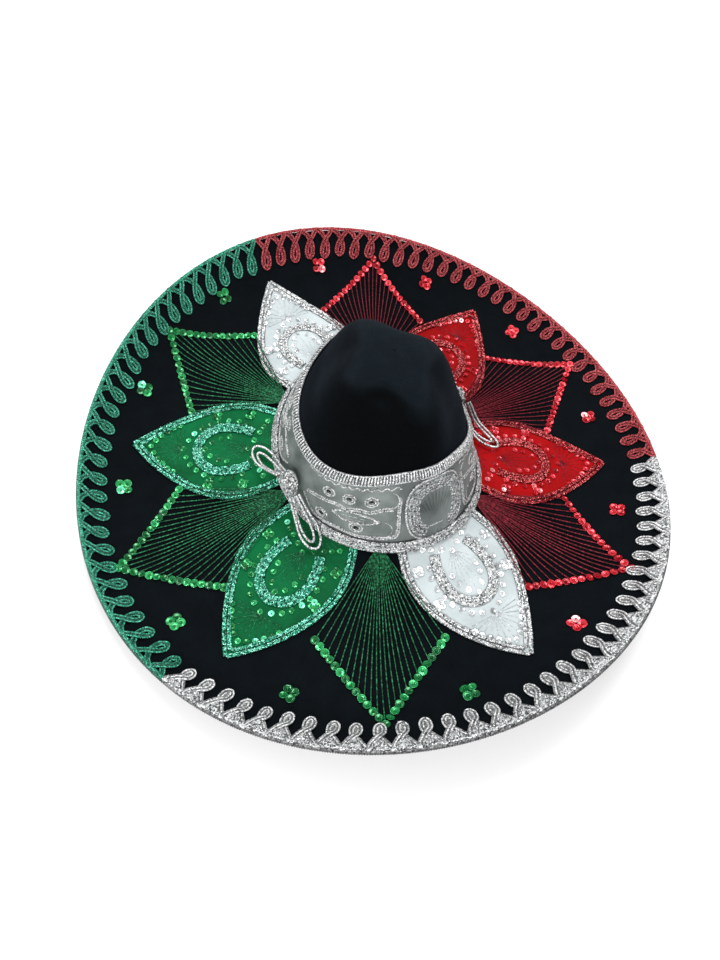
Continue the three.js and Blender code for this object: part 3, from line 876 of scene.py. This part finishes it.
def make_petal_stitching(bearing, colour):
    """Sequins in rows and sprays, and the rays of thread between them."""
    rays, sequins = Bag(), Bag()
    radius, above = 2.9, 2.6
    places = mirrored(OUTER_ROW + INNER_ROW + BASE_ARC + RAY_ENDS)
    places += [(196, 0), (174, 0), (130, 0), (228.5, 0)]
    sequins_at(sequins, bearing, places, radius, above)
    for centre in mirrored(SPRAYS):
        petals = [(centre[0] + 3.1 * math.cos(a), centre[1] + 3.1 * math.sin(a))
                  for a in full_turn(4) + 0.6]
        sequins_at(sequins, bearing, petals, radius, above)
    far_ends = mirrored(RAY_ENDS) + [(228.5, 0), (197.5, 25), (197.5, -25)]
    near_ends = mirrored(INNER_ROW + [(141, 12)]) + [(174, 0)]
    for middle, ends in ((RAY_CENTRE, far_ends), (BASE_RAY_CENTRE, near_ends)):
        for end in ends:
            add_ray(rays, bearing, (middle, 0), end)
    for end in mirrored(BASE_ARC):
        add_ray(rays, bearing, (106, end[1] * 0.2), end)
    tag = node_name("", colour, bearing)
    build("petal_rays" + tag, rays, THREAD[colour], THREAD_SLOT[colour])
    build("petal_sequins" + tag, sequins, SEQUIN[colour], SEQUIN_SLOT[colour])


for bearing, colour in PETALS:
    make_petal_cloth(bearing, colour)
    make_petal_border(bearing, colour)
    make_horseshoe(bearing, colour)
    make_petal_stitching(bearing, colour)


# ---- fans ----
def in_petal(flat):
    """Whether plan points lie on a petal."""
    inside = np.zeros(len(flat), bool)
    for bearing, _ in PETALS:
        local = polar(-bearing, flat[:, 0], flat[:, 1])
        along, across = local[:, 0], np.abs(local[:, 1])
        inside |= (along < LEAF_END) & (across < leaf_half(along)) & (along > 80)
    return inside


def make_fan(bearing, colour):
    """Taut threads from one point by the band to a row of sequins."""
    angle = math.radians(bearing)
    tip = rim_radius(angle) - FAN_MARGIN + 1
    apex = band_foot_radius(angle) + 1.5
    edge = np.linalg.norm([tip - FAN_SHOULDER, FAN_HALF])
    count = int(edge / 8.0)
    threads, sequins = Bag(), Bag()
    for side in (-1, 1):
        for i in range(side > 0, count + 1):
            t = i / count
            end = np.array([tip + (FAN_SHOULDER - tip) * t, side * FAN_HALF * t])
            start = np.array([apex, side * (0.4 + 2.2 * t)])
            flat = even(polar(bearing, *np.array([start, end]).T), 1.0)
            w = np.linspace(0, 1, len(flat))
            near = np.convolve(in_petal(flat).astype(float), np.ones(15) / 15, "same")
            height = 0.9 + 2.4 * np.sin(math.pi * w) ** 0.7 * (1 - w * 0.4) + 2.6 * near
            height = height + 0.5 * (1 - w) * (i % 3)
            sweep(threads, on_felt(flat, height), felt_normal(flat), 0.55, 0.55, 6, 2, 2.6, 0.18, tone=0.7)
    beads = int(edge / 6.9)
    places = []
    for side in (-1, 1):
        for i in range(side > 0, beads + 1):
            t = i / beads
            places.append((tip + 1 + (FAN_SHOULDER - tip) * t, side * FAN_HALF * t))
    flat = polar(bearing, *np.array(places).T)
    keep = [p for p, hidden in zip(places, in_petal(flat)) if not hidden]
    sequins_at(sequins, bearing, keep, 3.9, 1.3, 0.85)
    node = node_name("fan", colour, bearing)
    build(node + "_threads", threads, THREAD[colour], THREAD_SLOT[colour], [node])
    build(node + "_sequins", sequins, SEQUIN[colour], SEQUIN_SLOT[colour])


for bearing, colour in FANS:
    make_fan(bearing, colour)


def make_flower(bearing, colour):
    bag = Bag()
    turn = rng.uniform(0.5, 1.0)
    places = [(FLOWER_RADIUS + 4.6 * math.cos(a), 4.6 * math.sin(a))
              for a in full_turn(4) + turn]
    sequins_at(bag, bearing, places, 4.1, 0.9)
    node = node_name("flower", colour, bearing)
    build(node + "_sequins", bag, SEQUIN[colour], SEQUIN_SLOT[colour], [node])


for bearing, colour in FLOWERS:
    make_flower(bearing, colour)


# ---- hat band ----
TURN = np.linspace(0, math.pi / 2, 400)
QUARTER = arc_length(stack(BAND_X * np.sin(TURN), BAND_Y * np.cos(TURN)))


def band_angle(centre, side, s):
    """Angle of a place s millimetres round the band from the middle of a medallion."""
    return np.radians(centre) + side * np.sign(s) * np.interp(np.abs(s), QUARTER, TURN)


def band_normal(phi):
    return unit(stack(np.cos(phi) / BAND_X, np.sin(phi) / BAND_Y, 0.0015 + 0 * phi))


def band_path(centre, side, places, above):
    """A line on the band through places (s, t), standing above its cloth."""
    p = np.asarray(places, float)
    phi = band_angle(centre, side, p[:, 0])
    line = band_point(phi, p[:, 1], band_surface(p[:, 1]) + above)
    return line, band_normal(phi)


BAND_TALL = 76.0              # mean height of the band, so that t can be worked out in millimetres


def circle(s, t, wide, tall):
    a = np.linspace(0, math.tau, 40)
    return stack(s + wide * np.cos(a), t + tall / BAND_TALL * np.sin(a))


def make_band_cloth():
    turns, rows = 260, 40
    phi = full_turn(turns)[None]
    t = np.linspace(0, 1, rows)[:, None]
    swell = 0.5 * np.sin(math.pi * t) + 0.12 * np.sin(31 * phi + 5 * t) * np.sin(13 * phi)
    outer = band_point(phi + 0 * t, t + 0 * phi, band_surface(t) - 0.4 + swell)
    bag = Bag()
    slab(bag, outer, 1.2, True)
    piece = build("band_cloth", bag, BAND_CLOTH, "band_cloth", ["hat_band"])


def make_band_edges():
    """The ladder braid along the top and the crinkled braid along the foot."""
    turns = 1500
    phi = full_turn(turns)
    length = arc_length(band_point(phi, np.ones(turns), np.full(turns, BAND_HEAD)))[-1]
    bag = Bag()
    ribs = int(length / 2.75)
    u = np.linspace(-1, 1, 9)
    for a in np.linspace(0, math.tau, ribs, endpoint=False):
        at = np.full(9, a)
        rib = band_point(at, np.full(9, 1.0), 3.4 - 2.6 * u + 1.2 * (1 - u ** 2))
        sweep(bag, rib + np.array([0, 0, 3.4]) * u[:, None], band_normal(at) + [0, 0, 1.0], 0.98, 0.9, 8)
    for rise, out in ((-3.4, 6.2), (3.6, 0.9)):
        edge = band_point(phi, np.ones(turns), np.full(turns, out)) + [0, 0, rise]
        sweep(bag, edge, band_normal(phi), 0.8, 0.8, 8, 2, 2.4, 0.14, closed=True)
    build_silver("band_ladder_braid", bag, CORD_METAL, ["band_top_braid"])
    foot = Bag()
    for rise, out in ((0.6, 9.9), (3.2, 8.4), (6.2, 6.9)):
        line = band_point(phi, np.zeros(turns), np.full(turns, out)) + [0, 0, rise]
        normal = unit(band_normal(phi) + [0, 0, 0.8])
        plait(foot, line, normal, 1.5, 1.05, 5.4, 0.2)
    build_silver("band_crinkle_braid", foot, METAL, ["band_foot_braid"])


def make_band_embroidery(centre, side):
    """Soutache rings, a leaf, fans and double lines on one quarter of the band."""
    cords, beads = Bag(), Bag()

    def soutache(places, wide=1.25, above=0.9):
        line, normal = band_path(centre, side, places, above)
        both = even(np.concatenate([line, normal], 1), 0.7)
        sweep(cords, both[:, :3], unit(both[:, 3:]), wide, wide, 8, 2, 3.0, 0.14)

    def ring(s, t):
        wide, tall = 6.6, 5.2
        soutache(circle(s, t, wide, tall))
        soutache(circle(s, t, wide - 2.6, tall - 2.2), 0.8, 1.2)
        line, normal = band_path(centre, side, [(s, t), (s + 1, t)], 1.2)
        add_sequin(beads, line[0], normal[0], 2.4, 0.05)

    for s in (64, 87, 110):
        ring(s, 0.70)
    for s in (76, 113):
        ring(s, 0.27)
    under = smooth([(136, 0.47), (124, 0.52), (110, 0.555), (98, 0.575), (87, 0.56), (75, 0.58), (64, 0.56),
                    (52, 0.60), (42, 0.60)], 8)
    soutache(under)
    soutache(under - [0, 0.035])
    low = smooth([(137, 0.34), (124, 0.17), (110, 0.13), (92, 0.15), (76, 0.12), (58, 0.13), (42, 0.14),
                  (37, 0.2), (36, 0.35), (36, 0.55), (35, 0.72)], 8)
    soutache(low)
    soutache(low + [1.9, 0.025])
    for side_line in ([(92, 0.49), (78, 0.50), (64, 0.46)], [(92, 0.36), (78, 0.345), (64, 0.36)]):
        soutache(smooth([(102, 0.42)] + side_line + [(54, 0.40)], 8), 1.5)
    for t, wave in ((0.035, 0.03), (0.86, 0.035)):
        soutache(smooth([(s, t + wave * (k % 2)) for k, s in enumerate(range(36, 142, 5))], 6), 1.0)
    soutache(smooth([(100, 0.42), (78, 0.43), (58, 0.40)], 12), 0.5)
    soutache(smooth([(96, 0.435), (78, 0.465), (64, 0.44)], 12), 0.4)
    soutache(smooth([(96, 0.405), (78, 0.385), (64, 0.385)], 12), 0.4)
    for s, t in ((47, 0.70), (52, 0.27)):
        for a in np.linspace(-1.1, 1.1, 8):
            end = (s + 8.5 * math.cos(a + math.pi), t + 8.5 / BAND_TALL * math.sin(a + math.pi))
            soutache([(s + 5, t), end], 0.45, 0.6)
        arc = np.linspace(math.pi - 1.25, math.pi + 1.25, 12)
        soutache([(s + 9.5 * math.cos(a), t + 9.5 / BAND_TALL * math.sin(a)) for a in arc], 0.7)
    tag = f"{'front' if centre < 0 else 'back'}_{'a' if side < 0 else 'b'}"
    build_silver(f"band_soutache_{tag}", cords, CORD_METAL)
    build(f"band_sequins_{tag}", beads, SEQUIN["smoke"], "silver_braid")


def make_medallion(name, centre):
    """A plaque with pleated rays, a crinkled horseshoe of braid and a corded frame."""
    body, braid = Bag(), Bag()
    a = np.linspace(0, math.tau, 180)

    def outline(half, tall):
        power = 3.2
        c, s = np.cos(a), np.sin(a)
        k = (np.abs(c) ** power + np.abs(s) ** power) ** (-1 / power)
        taper = 1 - 0.10 * np.clip(-k * s, 0, 1)
        return stack(half * k * c * taper, 0.49 + tall / BAND_TALL * k * s)

    rows = np.linspace(0, 1, 26)[:, None, None]
    edge = outline(29.5, 31)[:-1]
    focus = np.array([0.0, 0.22])
    plan = focus + (edge[None] - focus) * rows
    phi = band_angle(centre, 1, plan[..., 0])
    pleat = 0.45 * np.cos(30 * a[:-1])[None] * np.sin(math.pi * rows[..., 0]) ** 0.5
    top = band_point(phi, plan[..., 1], band_surface(plan[..., 1]) + 1.6 + pleat)
    slab(body, top[1:, ::-1], 1.4, True)
    build(name + "_pleats", body, BAND_CLOTH, "band_cloth", [name])
    cord = Bag()
    for half, tall in ((30.6, 32.4), (18.4, 19.2)):
        line, normal = band_path(centre, 1, outline(half, tall)[:-1], 2.0)
        sweep(cord, line, normal, 1.3, 1.3, 10, 3, 6.0, 0.12, closed=True)
    build_silver(name + "_cord", cord, CORD_METAL)
    for half, tall in ((27.3, 28.6), (23.8, 24.8), (20.6, 21.4)):
        line, normal = band_path(centre, 1, outline(half, tall), 1.9)
        turn = (a + math.radians(62)) % (math.tau)
        order = np.argsort(turn)
        order = order[turn[order] < math.radians(304)]
        both = even(np.concatenate([line[order], normal[order]], 1), 0.7)
        plait(braid, both[:, :3], unit(both[:, 3:]), 1.35, 0.8, 4.4, 0.15)
    build_silver(name + "_braid", braid, METAL)


make_band_cloth()
make_band_edges()
for centre in (-90, 90):
    for side in (-1, 1):
        make_band_embroidery(centre, side)
make_medallion("medallion_front", -90)
make_medallion("medallion_back", 90)


# ---- knots ----
def make_knot(label, side, knot_y):
    """A flattened Turk's head of three leads over a braided boss."""
    centre = np.array([side * KNOT_X, knot_y, KNOT_Z])
    out = unit(np.array([side * 1.0, 0.0, 0.42]))
    across = np.array([0.0, 1.0, 0.0])
    up = np.cross(out, across)

    def place(u, v, h):
        return centre + np.multiply.outer(u, across) + np.multiply.outer(v, up) + np.multiply.outer(h, out)

    bag = Bag()
    theta = np.linspace(0, math.tau * 3, 520, endpoint=False)
    wave = 5 / 3 * theta
    r = 6.9 + 4.0 * np.cos(wave)
    line = place(r * np.cos(theta), r * np.sin(theta), 2.8 - 0.035 * r ** 2 + 1.3 * np.sin(wave * 2))
    sweep(bag, line, out, 1.45, 1.45, 10, 3, 6.0, 0.13, closed=True)
    small = np.linspace(0, math.tau * 2, 300, endpoint=False)
    r = 3.0 + 1.5 * np.cos(2.5 * small)
    line = place(r * np.cos(small), r * np.sin(small), 4.1 + 0.8 * np.sin(5 * small))
    sweep(bag, line, out, 1.0, 1.0, 10, 3, 5.0, 0.13, closed=True)
    build_silver(f"knot_cord_{label}", bag, CORD_METAL, [f"bow_knot_{label}"])
    boss = Bag()
    ring = np.linspace(0, math.tau, 260)
    for radius, height in ((10.8, -2.4), (9.2, -0.6)):
        plait(boss, place(radius * np.cos(ring), radius * np.sin(ring), np.full(len(ring), height)), out,
              1.2, 0.95, 4.6, 0.15)
    rows = np.linspace(0.02, 1, 12)[:, None]
    turn = full_turn(48)[None]
    dome = place(10 * rows * np.cos(turn), 10 * rows * np.sin(turn), 1.2 - 3.4 * rows ** 2 + 0 * turn)
    slab(boss, dome, 1.5, True)
    build_silver(f"knot_boss_{label}", boss, METAL)


for label, side, knot_y, _ in BOWS:
    make_knot(label, side, knot_y)


# ---- sweatband ----
def make_sweatband():
    turns, rows, tall, seam = 220, 16, 33, 3.0
    phi = full_turn(turns)[None]
    level = np.linspace(0, tall, rows)[:, None]
    bulge = 0.35 * np.sin(math.pi * level / tall)
    p = crown_point(phi + 0 * level, level + 0 * phi, -FELT - 1.6 - bulge)
    p[..., 2] = level + BASE_SADDLE * saddle(phi) * (1 - level / SADDLE_FADE)
    bag = Bag()
    slab(bag, p[:, ::-1], 1.1, True)
    build("sweatband_leather", bag, leather_material(), "sweatband", ["sweatband"])
    stitches = Bag()
    for a in np.linspace(0, math.tau, 150, endpoint=False):
        span = a + np.linspace(-0.013, 0.013, 5)
        line = crown_point(span, np.full(5, seam), np.full(5, -FELT - 2.9))
        line[:, 2] = seam + BASE_SADDLE * saddle(span) * (1 - seam / SADDLE_FADE)
        sweep(stitches, line, band_normal(span), 0.35, sides=6)
    build("sweatband_stitches", stitches, THREAD["white"], "white_cloth")


make_sweatband()


# ---- light and floor ----
def make_light(name, place, size, power):
    target = Vector((0, 0, 0.05))
    data = bpy.data.lights.new(name, "AREA")
    data.shape = "RECTANGLE"
    data.size, data.size_y = size
    data.energy = power
    lamp = add_object(name, data)
    lamp.location = place
    lamp.rotation_euler = (target - Vector(place)).to_track_quat("-Z", "Y").to_euler()


def make_stage():
    mesh = bpy.data.meshes.new("floor")
    mesh.from_pydata([(-4, -4, 0), (4, -4, 0), (4, 4, 0), (-4, 4, 0)], [], [(0, 1, 2, 3)])
    mesh.materials.append(floor_material())
    add_object("floor", mesh)
    world = bpy.data.worlds.new("studio")
    world.use_nodes = True
    tree = world.node_tree
    place = tree.nodes.new("ShaderNodeTexCoord")
    axes = tree.nodes.new("ShaderNodeSeparateXYZ")
    sky = tree.nodes.new("ShaderNodeValToRGB")
    for element, position, level in zip(sky.color_ramp.elements, (0.05, 0.85), (0.22, 0.75)):
        element.position = position
        element.color = grey(level)
    tree.links.new(place.outputs["Generated"], axes.inputs[0])
    tree.links.new(axes.outputs["Z"], sky.inputs["Fac"])
    tree.links.new(sky.outputs["Color"], tree.nodes["Background"].inputs["Color"])
    bpy.context.scene.world = world
    bpy.context.scene.view_settings.view_transform = "Standard"
    make_light("key", (0.35, 0.5, 1.5), (0.9, 0.7), 21)
    make_light("fill", (-1.2, -0.5, 1.1), (0.7, 0.7), 7)
    make_light("sparkle_back", (0.2, 1.3, 0.9), (0.2, 0.2), 5)
    make_light("sparkle_front", (-0.75, -0.95, 1.0), (0.28, 0.28), 13)


make_stage()
